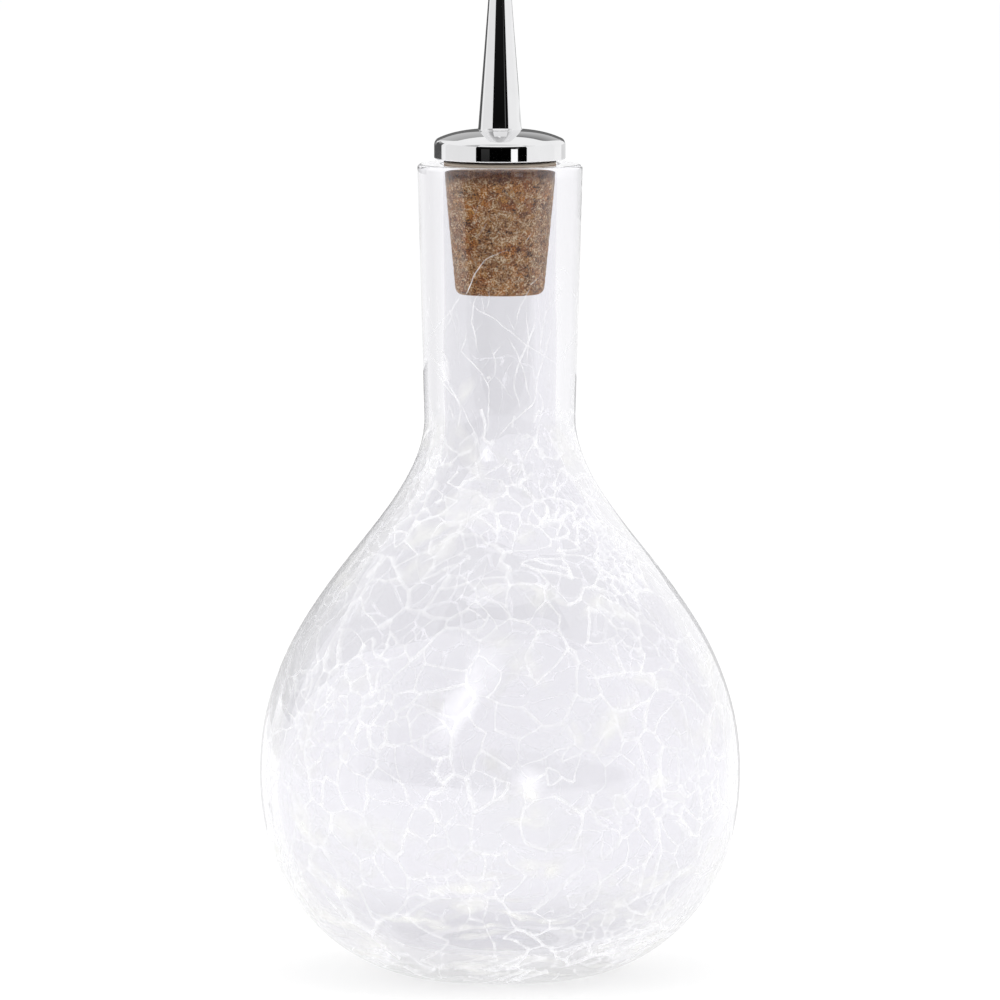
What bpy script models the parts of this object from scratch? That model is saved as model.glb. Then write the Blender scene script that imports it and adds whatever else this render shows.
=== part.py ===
"""Dash bottle for bitters: a blown glass bottle closed by a cork that carries a metal dropper.

Five pieces, all turned round the Z axis. The glass stands on Z = 0. The cork, the cap, the spout and
the stem lift out of the mouth together, so they hang from one empty at the middle of the rim, and
their heights below are measured from the rim.
"""

import math

import bmesh
import bpy
from mathutils import Vector

# Glass, outside
BULB_RADIUS = 0.03005
EQUATOR_HEIGHT = 0.0257
SHOULDER_ROUND = 0.0223
HEEL_ROUND = 0.0211
HEEL_SPREAD = 0.0039
FOOT_RADIUS = 0.0100
FOOT_WIDTH = 0.0026
PUNT_DEPTH = 0.0010
WAIST_RADIUS = 0.00945
WAIST_HEIGHT = 0.0701
NECK_FLARE = 0.0131
NECK_LENGTH = 0.0316
LIP_ROUND = 0.0009

# Glass, inside
MOUTH_RADIUS = 0.00715
MOUTH_ROUND = 0.0005
RIM_WALL = 0.00315
WAIST_WALL = 0.0027
BULB_WALL = 0.0021
FLOOR_WALL = 0.0032

# Fits
CORK_GAP = 0.0003
METAL_GAP = 0.0003

# Cork
CORK_DEPTH = 0.0161
TOE_CLEARANCE = 0.0012
CORK_CHAMFER = 0.0005

# Cap
CAP_LIFT = 0.00065
CAP_OVERHANG = 0.00105
CAP_BAND = 0.0021
CAP_DOME = 0.0014
CAP_EDGE_ROUND = 0.0004

# Spout
SPOUT_LENGTH = 0.0220
SPOUT_SINK = 0.0004
ORIFICE_RADIUS = 0.00055
ORIFICE_LENGTH = 0.0075
TIP_WALL = 0.00047
TIP_ROUND = 0.0002
DRILL_STEP = 0.00025
SPIGOT_WALL = 0.0005
SPIGOT_REACH = 0.0030
SHOULDER_WIDTH = 0.0014

# Stem
STEM_WALL = 0.0006
STEM_RECESS = 0.0004
BARB_HEIGHT = 0.0002
BARB_PITCH = 0.0032
BARB_COUNT = 3

# Facets
GLASS_SIDES = 48
METAL_SIDES = 32
CORK_SIDES = 32
SWEEP_STEPS = 10
ROUND_STEPS = 3

MERGE_DISTANCE = 1e-7
SHARP_ANGLE = math.radians(30)

BOTTLE_HEIGHT = WAIST_HEIGHT + NECK_LENGTH
CORK_RADIUS = MOUTH_RADIUS - CORK_GAP
CAP_RADIUS = MOUTH_RADIUS + CAP_OVERHANG
DRILL_RADIUS = ORIFICE_RADIUS + DRILL_STEP
SPIGOT_RADIUS = DRILL_RADIUS + SPIGOT_WALL
ROOT_RADIUS = SPIGOT_RADIUS + SHOULDER_WIDTH
TIP_RADIUS = ORIFICE_RADIUS + TIP_WALL
STEM_BORE_RADIUS = SPIGOT_RADIUS + METAL_GAP
STEM_RADIUS = STEM_BORE_RADIUS + STEM_WALL


def clear_scene():
    for old in list(bpy.data.objects):
        bpy.data.objects.remove(old, do_unlink=True)


def material(name, colour, roughness, metallic=0.0, transmission=0.0):
    made = bpy.data.materials.new(name)
    made.use_nodes = True
    shader = made.node_tree.nodes["Principled BSDF"]
    shader.inputs["Base Color"].default_value = (*colour, 1.0)
    shader.inputs["Roughness"].default_value = roughness
    shader.inputs["Metallic"].default_value = metallic
    shader.inputs["Transmission Weight"].default_value = transmission
    return made


def sweep(corners, wall_start=0.0, wall_end=0.0, steps=SWEEP_STEPS):
    """Points of a cubic curve, set back from it by a wall that blends from one value to another.

    The corners are (radius, height) pairs, and the wall lies to the left of the way they run.
    """
    first, second, third, last = (Vector(corner) for corner in corners)
    points = []
    for step in range(steps + 1):
        t = step / steps
        s = 1 - t
        point = s**3 * first + 3 * s * s * t * second + 3 * s * t * t * third + t**3 * last
        along = s * s * (second - first) + 2 * s * t * (third - second) + t * t * (last - third)
        left = Vector((-along.y, along.x)).normalized()
        points.append(tuple(point + left * (s * wall_start + t * wall_end)))
    return points


def arc(centre, radius, start, end, steps=ROUND_STEPS):
    """Points of an arc round a (radius, height) centre; angle 0 points away from the axis."""
    points = []
    for step in range(steps + 1):
        angle = start + (end - start) * step / steps
        points.append(
            (centre[0] + radius * math.cos(angle), centre[1] + radius * math.sin(angle))
        )
    return points


def turned(name, outline, sides, finish, parent=None):
    """Spins an outline of (radius, height) points round Z into one closed solid.

    An outline with both ends on the axis closes there; any other closes on itself.
    """
    mesh = bmesh.new()
    corners = [mesh.verts.new((radius, 0, height)) for radius, height in outline]
    pairs = list(zip(corners, corners[1:]))
    if outline[0][0] > 0:
        pairs.append((corners[-1], corners[0]))
    edges = [mesh.edges.new(pair) for pair in pairs]
    bmesh.ops.spin(
        mesh, geom=corners + edges, cent=(0, 0, 0), axis=(0, 0, 1), angle=math.tau, steps=sides
    )
    bmesh.ops.remove_doubles(mesh, verts=mesh.verts, dist=MERGE_DISTANCE)
    bmesh.ops.recalc_face_normals(mesh, faces=mesh.faces)
    data = bpy.data.meshes.new(name)
    mesh.to_mesh(data)
    mesh.free()
    data.shade_smooth()
    data.set_sharp_from_angle(angle=SHARP_ANGLE)
    data.materials.append(finish)
    made = bpy.data.objects.new(name, data)
    bpy.context.scene.collection.objects.link(made)
    made.parent = parent
    return made


def neck_bore(depth):
    """Radius of the straight neck's bore at a depth below the rim."""
    waist_bore = WAIST_RADIUS - WAIST_WALL
    return MOUTH_RADIUS + (waist_bore - MOUTH_RADIUS) * depth / NECK_LENGTH


def glass_bottle(finish):
    """Drop-shaped bulb, long neck with a fire-polished lip, and a shallow punt in the foot."""
    heel = (
        (FOOT_RADIUS, 0),
        (FOOT_RADIUS + HEEL_SPREAD, 0),
        (BULB_RADIUS, EQUATOR_HEIGHT - HEEL_ROUND),
        (BULB_RADIUS, EQUATOR_HEIGHT),
    )
    shoulder = (
        (BULB_RADIUS, EQUATOR_HEIGHT),
        (BULB_RADIUS, EQUATOR_HEIGHT + SHOULDER_ROUND),
        (WAIST_RADIUS, WAIST_HEIGHT - NECK_FLARE),
        (WAIST_RADIUS, WAIST_HEIGHT),
    )
    ring = FOOT_RADIUS - FOOT_WIDTH
    punt = ((0, PUNT_DEPTH), (ring / 2, PUNT_DEPTH), (ring / 2, 0), (ring, 0))
    floor = (
        (0, PUNT_DEPTH + FLOOR_WALL),
        (ring / 2, PUNT_DEPTH + FLOOR_WALL),
        (ring / 2, FLOOR_WALL),
        (FOOT_RADIUS, FLOOR_WALL),
    )
    rim_radius = MOUTH_RADIUS + RIM_WALL
    lip_centre = (rim_radius - LIP_ROUND, BOTTLE_HEIGHT - LIP_ROUND)
    mouth_centre = (MOUTH_RADIUS + MOUTH_ROUND, BOTTLE_HEIGHT - MOUTH_ROUND)
    outside = (
        sweep(punt)
        + sweep(heel)
        + sweep(shoulder)[1:]
        + arc(lip_centre, LIP_ROUND, 0, math.pi / 2)
        + arc(mouth_centre, MOUTH_ROUND, math.pi / 2, math.pi)
    )
    inside = (
        sweep(floor)
        + sweep(heel, FLOOR_WALL, BULB_WALL)[1:]
        + sweep(shoulder, BULB_WALL, WAIST_WALL)[1:]
    )
    return turned("glass_bottle", outside + inside[::-1], GLASS_SIDES, finish)


def cork_stopper(finish, parent):
    """Tapered plug; only its top grips the mouth. The stem passes through its bore."""
    bore = STEM_RADIUS + BARB_HEIGHT + METAL_GAP
    top = CAP_LIFT - CORK_GAP
    toe = neck_bore(CORK_DEPTH) - TOE_CLEARANCE
    outline = [
        (bore, -CORK_DEPTH),
        (toe - CORK_CHAMFER, -CORK_DEPTH),
        (toe, CORK_CHAMFER - CORK_DEPTH),
        (CORK_RADIUS, 0),
        (CORK_RADIUS, top),
        (bore, top),
    ]
    return turned("cork_stopper", outline, CORK_SIDES, finish, parent)


def cap_edge():
    """The rounded edge above the cap's band, which runs out tangent to the dome."""
    lean = math.atan2(2 * CAP_DOME, CAP_RADIUS)
    centre = (CAP_RADIUS - CAP_EDGE_ROUND, CAP_LIFT + CAP_BAND)
    return arc(centre, CAP_EDGE_ROUND, 0, math.pi / 2 - lean)


def dome_height(radius):
    """Height of the cap's dome at a radius; the dome is a parabola inside the rounded edge."""
    edge_radius, edge_height = cap_edge()[-1]
    return edge_height + CAP_DOME * (1 - (radius / edge_radius) ** 2)


def cap_flange(finish, parent):
    """Domed disc that rests on the cork. The spout's foot sits in a seat in its middle."""
    hole = SPIGOT_RADIUS + METAL_GAP
    seat = ROOT_RADIUS + METAL_GAP
    seat_floor = spout_shoulder() - METAL_GAP
    edge = cap_edge()
    dome_steps = 2 * ROUND_STEPS
    dome_radii = [
        edge[-1][0] + (seat - edge[-1][0]) * step / dome_steps for step in range(1, dome_steps + 1)
    ]
    outline = [
        (hole, CAP_LIFT),
        (CAP_RADIUS, CAP_LIFT),
        *edge,
        *((radius, dome_height(radius)) for radius in dome_radii),
        (seat, seat_floor),
        (hole, seat_floor),
    ]
    return turned("cap_flange", outline, METAL_SIDES, finish, parent)


def spout_shoulder():
    """Height of the underside of the spout's foot, sunk a little into the dome."""
    return dome_height(ROOT_RADIUS) - SPOUT_SINK


def pour_spout(finish, parent):
    """Tapered nozzle drilled from below to a narrow orifice, with a spigot that the stem holds."""
    root = dome_height(ROOT_RADIUS)
    tip = root + SPOUT_LENGTH
    spigot_end = CAP_LIFT - SPIGOT_REACH
    orifice_end = tip - ORIFICE_LENGTH
    outline = [
        (DRILL_RADIUS, spigot_end),
        (SPIGOT_RADIUS, spigot_end),
        (SPIGOT_RADIUS, spout_shoulder()),
        (ROOT_RADIUS, spout_shoulder()),
        (ROOT_RADIUS, root),
        (TIP_RADIUS, tip - TIP_ROUND),
        (TIP_RADIUS - TIP_ROUND, tip),
        (ORIFICE_RADIUS, tip),
        (ORIFICE_RADIUS, orifice_end),
        (DRILL_RADIUS, orifice_end - DRILL_STEP),
    ]
    return turned("pour_spout", outline, METAL_SIDES, finish, parent)


def stem_tube(finish, parent):
    """Barbed tube from the cap down through the cork, ending just inside the cork's toe."""
    top = CAP_LIFT - METAL_GAP
    bottom = STEM_RECESS - CORK_DEPTH
    outline = [(STEM_BORE_RADIUS, bottom), (STEM_RADIUS, bottom)]
    for barb in range(1, BARB_COUNT + 1):
        edge = bottom + barb * BARB_PITCH
        outline += [
            (STEM_RADIUS, edge - BARB_PITCH / 2),
            (STEM_RADIUS + BARB_HEIGHT, edge),
            (STEM_RADIUS, edge),
        ]
    outline += [(STEM_RADIUS, top), (STEM_BORE_RADIUS, top)]
    return turned("stem_tube", outline, METAL_SIDES, finish, parent)


clear_scene()
crackle_glass = material("crackle_glass", (0.93, 0.93, 0.96), 0.02, transmission=1.0)
pressed_cork = material("pressed_cork", (0.37, 0.22, 0.12), 0.85)
chrome_plate = material("chrome_plate", (0.80, 0.80, 0.82), 0.05, metallic=1.0)
steel = material("stainless_steel", (0.60, 0.60, 0.60), 0.25, metallic=1.0)

stopper_axis = bpy.data.objects.new("stopper_axis", None)
stopper_axis.location = (0, 0, BOTTLE_HEIGHT)
bpy.context.scene.collection.objects.link(stopper_axis)

glass_bottle(crackle_glass)
cork_stopper(pressed_cork, stopper_axis)
cap_flange(chrome_plate, stopper_axis)
pour_spout(chrome_plate, stopper_axis)
stem_tube(steel, stopper_axis)
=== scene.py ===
"""Dash bottle for bitters, dressed over the frame: crackled glass, pressed cork, chrome dropper."""

import math
import random
from itertools import combinations

import bmesh
import bpy
import numpy as np
from mathutils import Matrix, Vector, geometry, noise


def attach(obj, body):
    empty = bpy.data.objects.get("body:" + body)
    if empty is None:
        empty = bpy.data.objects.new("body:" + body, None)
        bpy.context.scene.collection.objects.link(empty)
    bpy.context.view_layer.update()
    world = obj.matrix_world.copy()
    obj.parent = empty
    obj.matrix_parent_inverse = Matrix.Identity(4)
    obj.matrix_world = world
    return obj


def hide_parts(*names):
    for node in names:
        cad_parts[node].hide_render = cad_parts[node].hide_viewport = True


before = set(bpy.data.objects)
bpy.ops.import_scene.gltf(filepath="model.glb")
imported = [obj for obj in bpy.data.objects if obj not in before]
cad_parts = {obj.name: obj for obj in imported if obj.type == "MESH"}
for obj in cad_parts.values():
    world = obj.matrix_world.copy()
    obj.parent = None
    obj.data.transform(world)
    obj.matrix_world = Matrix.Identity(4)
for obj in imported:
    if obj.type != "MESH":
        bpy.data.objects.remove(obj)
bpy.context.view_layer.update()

# Glass bottle
# Free-blown soda-lime glass, cracked on purpose by a dip in water and closed again in the flame.
# One wall from foot to lip: drop-shaped bulb, long straight neck, fire-polished lip, shallow punt.
# It replaces the CAD bottle, whose curves it repeats with finer steps and a blower's faint ripple.
MM = 0.001
BULB_RADIUS = 30.05 * MM
FOOT_RADIUS = 10.0 * MM
FOOT_WIDTH = 2.6 * MM
PUNT_DEPTH = 1.0 * MM
WAIST_RADIUS = 9.45 * MM
WAIST = 70.1 * MM
RIM = 101.7 * MM
RIM_RADIUS = 10.3 * MM
LIP_ROUND = 0.5 * MM
MOUTH_RADIUS = 7.15 * MM
MOUTH_ROUND = 0.5 * MM
FLOOR_WALL = 3.2 * MM
BULB_WALL = 2.1 * MM
WAIST_WALL = 2.7 * MM
GLASS_SIDES = 192
NECK_STEPS = 24
SHARP_EDGE = math.radians(35)

HEEL_CURVE = ((10.0, 0), (13.9, 0), (30.05, 4.6), (30.05, 25.7))
SHOULDER_CURVE = ((30.05, 25.7), (30.05, 48.0), (9.45, 57.0), (9.45, 70.1))


def swept(corners_mm, steps, wall_start=0.0, wall_end=0.0):
    """Points of a cubic curve in metres, set back to its left by a wall that blends along it."""
    first, second, third, last = (Vector(corner) * MM for corner in corners_mm)
    points = []
    for step in range(steps + 1):
        t = step / steps
        s = 1 - t
        point = s**3 * first + 3 * s * s * t * second + 3 * s * t * t * third + t**3 * last
        along = s * s * (second - first) + 2 * s * t * (third - second) + t * t * (last - third)
        left = Vector((-along.y, along.x)).normalized()
        points.append(tuple(point + left * (s * wall_start + t * wall_end)))
    return points


def arc(centre, radius, start, end, steps):
    """Points of an arc round a (radius, height) centre; angle 0 points away from the axis."""
    x, y = centre
    angles = [start + (end - start) * step / steps for step in range(steps + 1)]
    return [(x + radius * math.cos(angle), y + radius * math.sin(angle)) for angle in angles]


def straight(start, end, steps):
    """Points between two (radius, height) points, without these two."""
    (radius, height), (last_radius, last_height) = start, end
    run = last_radius - radius
    rise = last_height - height
    return [(radius + run * n / steps, height + rise * n / steps) for n in range(1, steps)]


def placed(name, data):
    """A new object in the scene."""
    made = bpy.data.objects.new(name, data)
    bpy.context.scene.collection.objects.link(made)
    return made


def turned(name, outline, sides, relief=None):
    """Turns an outline of (radius, height) points round Z into one closed mesh object.

    relief(point, row) gives how far a vertex moves away from the axis.
    """
    vertices = []
    for row, (radius, height) in enumerate(outline):
        for side in range(sides):
            angle = math.tau * side / sides
            away = Vector((math.cos(angle), math.sin(angle), 0))
            point = away * radius + Vector((0, 0, height))
            if relief and radius > 0:
                point += away * relief(point, row)
            vertices.append(point)
    rows = len(outline)
    closed = outline[0][0] > 0
    faces = []
    for row in range(rows if closed else rows - 1):
        here = row * sides
        above = (row + 1) % rows * sides
        for side in range(sides):
            beside = (side + 1) % sides
            faces.append((here + side, here + beside, above + beside, above + side))
    data = bpy.data.meshes.new(name)
    data.from_pydata(vertices, [], faces)
    mesh = bmesh.new()
    mesh.from_mesh(data)
    bmesh.ops.remove_doubles(mesh, verts=mesh.verts, dist=1e-7)
    bmesh.ops.recalc_face_normals(mesh, faces=mesh.faces)
    mesh.to_mesh(data)
    mesh.free()
    data.shade_smooth()
    data.set_sharp_from_angle(angle=SHARP_EDGE)
    return placed(name, data)


def linear(hex_colour):
    """Linear RGBA of an sRGB hex colour."""
    channels = [int(hex_colour[i : i + 2], 16) / 255 for i in (1, 3, 5)]
    return (*(c / 12.92 if c <= 0.04045 else ((c + 0.055) / 1.055) ** 2.4 for c in channels), 1.0)


def add_node(tree, kind, settings=None, links=None):
    """Adds one shader node. settings are its properties or open sockets, links feed its sockets."""
    made = tree.nodes.new("ShaderNode" + kind)
    for name, value in (settings or {}).items():
        if isinstance(name, str) and hasattr(made, name):
            setattr(made, name, value)
        else:
            made.inputs[name].default_value = value
    for name, source in (links or {}).items():
        tree.links.new(source, made.inputs[name])
    return made


def new_material(name):
    """An empty node material and its output node."""
    made = bpy.data.materials.new(name)
    made.use_nodes = True
    made.node_tree.nodes.clear()
    output = add_node(made.node_tree, "OutputMaterial")
    return made, made.node_tree, output


def spot_noise(tree, place, size, detail, **more):
    """Noise with spots of about one size in metres."""
    settings = {"Scale": 1 / size, "Detail": detail, **more}
    return add_node(tree, "TexNoise", settings, {"Vector": place})


def remapped(tree, value, start, end, low=0.0, high=1.0):
    """Maps start to low and end to high, and holds the value at both."""
    settings = {"From Min": start, "From Max": end, "To Min": low, "To Max": high}
    return add_node(tree, "MapRange", settings, {"Value": value}).outputs["Result"]


def computed(tree, operation, *terms):
    """The result of one math node, fed by sockets and numbers."""
    settings = {"operation": operation}
    links = {}
    for number, term in enumerate(terms):
        (settings if isinstance(term, float) else links)[number] = term
    return add_node(tree, "Math", settings, links).outputs[0]


def mixed_colour(tree, share, first, second, blend="MIX"):
    """Mixes a hex colour, or the colour of a socket, with a second hex colour by a share."""
    settings = {"data_type": "RGBA", "blend_type": blend, 7: linear(second)}
    links = {0: share}
    if isinstance(first, str):
        settings[6] = linear(first)
    else:
        links[6] = first
    return add_node(tree, "Mix", settings, links).outputs[2]


def object_place(tree):
    """Where a point lies on the object, in metres."""
    return add_node(tree, "TexCoord").outputs["Object"]


def principled(tree, output, settings, links):
    """Ends a material in a principled shader."""
    shader = add_node(tree, "BsdfPrincipled", settings, links)
    tree.links.new(shader.outputs["BSDF"], output.inputs["Surface"])


def glass_outline():
    """The skin from foot to lip, the whole outside and the inside, as (radius, height) points."""
    ring = FOOT_RADIUS - FOOT_WIDTH
    foot_mm, ring_mm, punt_mm, floor_mm = (
        value / MM for value in (FOOT_RADIUS, ring, PUNT_DEPTH, FLOOR_WALL)
    )
    punt = ((0, punt_mm), (ring_mm / 2, punt_mm), (ring_mm / 2, 0), (ring_mm, 0))
    floor = (
        (0, punt_mm + floor_mm),
        (ring_mm / 2, punt_mm + floor_mm),
        (ring_mm / 2, floor_mm),
        (foot_mm, floor_mm),
    )
    lip_centre = (RIM_RADIUS - LIP_ROUND, RIM - LIP_ROUND)
    mouth_centre = (MOUTH_RADIUS + MOUTH_ROUND, RIM - MOUTH_ROUND)
    lip = (RIM_RADIUS, RIM - LIP_ROUND)
    neck_outside = straight((WAIST_RADIUS, WAIST), lip, NECK_STEPS)
    skin = swept(HEEL_CURVE, 56) + swept(SHOULDER_CURVE, 84)[1:] + neck_outside
    outside = (
        swept(punt, 14)
        + skin
        + arc(lip_centre, LIP_ROUND, 0, math.pi / 2, 10)
        + arc(mouth_centre, MOUTH_ROUND, math.pi / 2, math.pi, 8)
    )
    waist_bore = (WAIST_RADIUS - WAIST_WALL, WAIST)
    neck_inside = straight(waist_bore, (MOUTH_RADIUS, RIM - MOUTH_ROUND), NECK_STEPS)
    inside = (
        swept(floor, 14)
        + swept(HEEL_CURVE, 56, FLOOR_WALL, BULB_WALL)[1:]
        + swept(SHOULDER_CURVE, 84, BULB_WALL, WAIST_WALL)[1:]
        + neck_inside
    )
    return skin, outside, inside


skin, outside, inside = glass_outline()
OUTER_ROWS = len(outside)
RIPPLE_PITCH = 9 * MM
RIPPLE = 0.14 * MM
DRAWN_PITCH = 2.6 * MM
DRAWN = 0.06 * MM
DIMPLE_PITCH = 5 * MM
DIMPLE = 0.024 * MM
FLAT_FOOT = 0.5 * MM
CALM_LIP = 1.5 * MM
CALM_MOUTH = 0.8 * MM
NECK_BLEND = (56 * MM, 12 * MM)
LINES_FADE = (80 * MM, 6 * MM)
LINES_LOST = 0.85
TINT_PITCH = 14 * MM


def glass_relief(point, row):
    """Dimples outside; inside, a slow ripple in the bulb that ends as drawn lines up the neck."""
    if row < OUTER_ROWS:
        if point.z < FLAT_FOOT or point.z > RIM - CALM_LIP:
            return 0.0
        return DIMPLE * noise.noise(point / DIMPLE_PITCH)
    if point.z > RIM - CALM_MOUTH:
        return 0.0
    in_neck = min(max((point.z - NECK_BLEND[0]) / NECK_BLEND[1], 0), 1)
    above_cork = min(max((point.z - LINES_FADE[0]) / LINES_FADE[1], 0), LINES_LOST)
    slow = Vector((point.x, point.y, point.z * 0.6)) / RIPPLE_PITCH + Vector((7.3, 1.1, 4.2))
    drawn = Vector((point.x, point.y, point.z * 0.13)) / DRAWN_PITCH
    lines = in_neck * (1 - above_cork) * DRAWN * noise.noise(drawn)
    return (1 - in_neck) * RIPPLE * noise.noise(slow) + lines


glass = turned("crackle_glass_wall", outside + inside[::-1], GLASS_SIDES, glass_relief)
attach(glass, "bottle")
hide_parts("glass_bottle")

clear_glass, tree, output = new_material("blown_soda_lime_glass")
place = object_place(tree)
tint_noise = spot_noise(tree, place, TINT_PITCH, 2.0).outputs["Fac"]
tint = mixed_colour(tree, tint_noise, "#f1f0f4", "#f5f5f7")
glass_settings = {"Roughness": 0.0, "IOR": 1.5, "Transmission Weight": 1.0}
principled(tree, output, glass_settings, {"Base Color": tint})
glass.data.materials.append(clear_glass)

# Cracks in the glass
# Air-filled breaks that start at the skin and stop inside the wall. The first part the glass in
# large plates, and later ones cut each plate again and again, so most end on an older one.
# Face on they are fine veins with webbed forks, and from the side broad bands; a painted glow keeps
# them white and silvery.
PLATE = 15 * MM
CELL = 4.1 * MM
WAIST_CELL = 2.5 * MM
CELL_SPREAD = 0.6
CELL_BLEND = (44 * MM, 16 * MM)
HIGHEST_SEED = 88 * MM
CUT_SLANT = 0.38
CUT_SHIFT = 0.09
CUT_BOW = 0.13
CLUSTER = 12 * MM
BENDS = ((1.3 * MM, 8 * MM), (0.42 * MM, 2.6 * MM), (0.08 * MM, 0.8 * MM))
SETTLING_STEPS = 7
SKIN = 0.06 * MM
VEIN_WIDTH = 0.15 * MM
WEB = 0.13 * MM
WEB_REACH = 0.35 * MM
FOOT_SHARE = 0.4
RUN_OUT = 2.2 * MM
LEAN_PITCH = 5 * MM
STRIDE = 0.3 * MM
SEED = 41
draw = random.Random(SEED)
noise.seed_set(SEED)

profile = np.array(skin)
profile_length = np.concatenate(([0.0], np.cumsum(np.hypot(*np.diff(profile, axis=0).T))))
profile_stretch = np.concatenate(
    ([0.0], np.cumsum(np.diff(profile_length) / ((profile[1:, 0] + profile[:-1, 0]) / 2)))
)


def stretch_at(height):
    """Length of the skin's map at a height."""
    return float(np.interp(height, profile[:, 1], profile_stretch))


def on_skin(spot):
    """Point and outward normal of the outer skin at a spot of its map.

    A spot is an angle and a length in units of radius, so that shapes on the map keep their angles.
    """
    radius = float(np.interp(spot[1], profile_stretch, profile[:, 0]))
    height = float(np.interp(spot[1], profile_stretch, profile[:, 1]))
    sample = (spot[1] - 0.01, spot[1] + 0.01)
    run = np.diff(np.interp(sample, profile_stretch, profile[:, 0]))[0]
    rise = np.diff(np.interp(sample, profile_stretch, profile[:, 1]))[0]
    across = Vector((rise, -run)).normalized()
    away = Vector((math.cos(spot[0]), math.sin(spot[0]), 0))
    return away * radius + Vector((0, 0, height)), away * across.x + Vector((0, 0, across.y))


def bent(spot):
    """A spot shifted along the slow and the quick bends that crack fronts follow."""
    point, _ = on_skin(spot)
    shift = Vector((0, 0))
    for reach, pitch in BENDS:
        shift += noise.noise_vector(point / pitch).xy * reach / point.xy.length
    return spot + shift


def bent_path(corners):
    """Close-set spots along the bent way through a few spots of the map."""
    path = []
    for start, end in zip(corners, corners[1:]):
        radius = on_skin(start)[0].xy.length
        steps = max(1, round((end - start).length * radius / STRIDE))
        path += [bent(start.lerp(end, step / steps)) for step in range(steps)]
    return path + [bent(corners[-1])]


def cell_size(point):
    """Cells get smaller from the bulb to the waist, and vary in clusters as the glass cooled."""
    blend = min(max((point.z - CELL_BLEND[0]) / CELL_BLEND[1], 0), 1)
    cluster = 1 + CELL_SPREAD * 2 * noise.noise(point / CLUSTER + Vector((3.1, 9.4, 5.5)))
    return (CELL + (WAIST_CELL - CELL) * blend) * min(max(cluster, 0.5), 1.7)


def scattered_seeds(spacing, tries):
    """Spots over the bulb and the lower neck that keep their distance on the skin."""
    random_numbers = np.random.default_rng(7)
    lengths = random_numbers.uniform(0, profile_length[-1], tries)
    angles = random_numbers.uniform(-math.pi, math.pi, tries)
    chances = random_numbers.uniform(0, 1, tries)
    found = []
    taken = []
    for length, angle, chance in zip(lengths, angles, chances):
        spot = Vector((angle, float(np.interp(length, profile_length, profile_stretch))))
        point, _ = on_skin(spot)
        if chance > point.xy.length / BULB_RADIUS or point.z > HIGHEST_SEED:
            continue
        if all((point - other).length > spacing for other in taken):
            taken.append(point)
            found.append(spot)
    return found


def first_plates(seeds):
    """Corners of the first large plates, one plate round each seed."""
    spread = list(seeds)
    for seed in seeds:
        spread += [seed + Vector((math.tau, 0)), seed - Vector((math.tau, 0))]
    for number in range(-12, 13):
        angle = math.pi * number / 6
        spread += [Vector((angle, -0.5)), Vector((angle, profile_stretch[-1] + 0.5))]
    corners, _, triangles, _, _, _ = geometry.delaunay_2d_cdt(spread, [], [], 0, 1e-6)
    around = [[] for _ in seeds]
    for triangle in triangles:
        middle = sum((corners[number] for number in triangle), Vector((0, 0))) / 3
        for number in triangle:
            if number < len(seeds):
                around[number].append(middle)
    return [
        sorted(middles, key=lambda spot: math.atan2(spot.y - seed.y, spot.x - seed.x))
        for seed, middles in zip(seeds, around)
    ]


def sides_of(shape):
    """Each side of a closed shape as its two corners."""
    return list(zip(shape, shape[1:] + shape[:1]))


def cut_in_two(shape):
    """Cuts a shape across its longest way, along a bowed line. Gives the cut and the two parts."""
    first, last = max(combinations(shape, 2), key=lambda pair: (pair[0] - pair[1]).length)
    across = (last - first).normalized()
    across.rotate(Matrix.Rotation(draw.gauss(0, CUT_SLANT), 2))
    middle = sum(shape, Vector((0, 0))) / len(shape) + (last - first) * draw.gauss(0, CUT_SHIFT)
    crossings = []
    for number, (here, there) in enumerate(sides_of(shape)):
        near = (here - middle).dot(across)
        far = (there - middle).dot(across)
        if (near > 0) != (far > 0):
            crossings.append((number, here.lerp(there, near / (near - far))))
    if len(crossings) != 2:
        return None, ()
    (one, start), (two, end) = crossings
    bow = across * draw.gauss(0, CUT_BOW) * (end - start).length
    between = [start.lerp(end, t) + bow * math.sin(math.pi * t) for t in (0.2, 0.4, 0.6, 0.8)]
    parts = (
        [start, *shape[one + 1 : two + 1], end, *between[::-1]],
        [end, *shape[two + 1 :], *shape[: one + 1], start, *between],
    )
    return [start, *between, end], parts


def all_breaks(plates):
    """Every crack as its corners and age, where the walls between the first plates have age 0."""
    found = [(side, 0) for plate in plates for side in sides_of(plate)]
    waiting = [(plate, 1) for plate in plates]
    while waiting:
        shape, age = waiting.pop()
        point, _ = on_skin(sum(shape, Vector((0, 0))) / len(shape))
        doubled = sum(here.cross(there) for here, there in sides_of(shape))
        size = math.sqrt(abs(doubled) / 2) * point.xy.length
        if size < cell_size(point) * draw.uniform(0.8, 1.5):
            continue
        cut, parts = cut_in_two(shape)
        if cut:
            found.append((cut, age))
            waiting += [(part, age + 1) for part in parts]
    return found


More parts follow.
